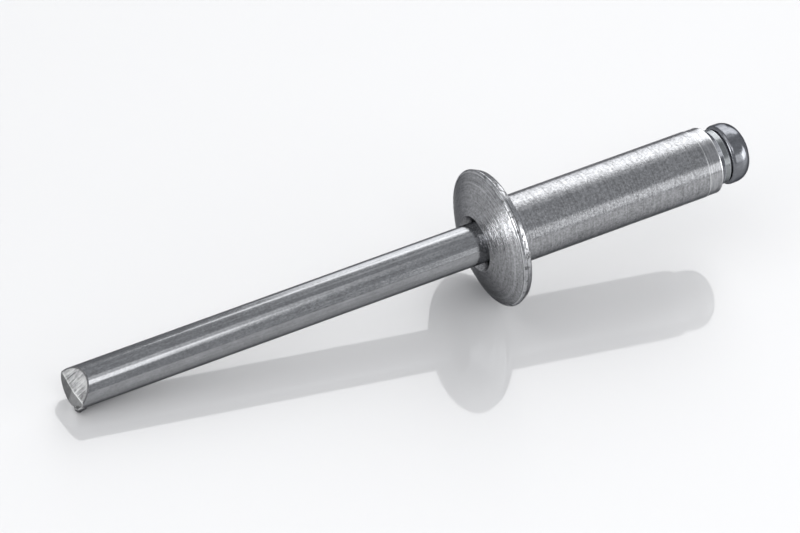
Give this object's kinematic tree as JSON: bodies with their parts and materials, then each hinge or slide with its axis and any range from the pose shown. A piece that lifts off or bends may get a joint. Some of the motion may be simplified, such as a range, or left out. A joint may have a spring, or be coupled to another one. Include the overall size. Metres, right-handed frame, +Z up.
{
  "type": "pop rivet",
  "caption": "Unset blind rivet: domed tubular body on a headed mandrel with a break neck and a pinch-cut point.",
  "frame": {"origin": "midway along the rivet as it lies, on the surface that it lies on", "axes": "+X towards the mandrel head, +Z up; the rivet's axis rises about 6 degrees towards +X"},
  "size_m": [0.052, 0.0098, 0.0097],
  "materials": {
    "body_steel": "satin headed and tumbled stainless steel, fine turning marks on the dome",
    "mandrel_steel": "smooth drawn stainless steel wire, polished head, scratched cut faces at the point"
  },
  "bodies": {
    "root": {"rivet_body": "body_steel", "mandrel": "mandrel_steel"}
  },
  "joints": []
}
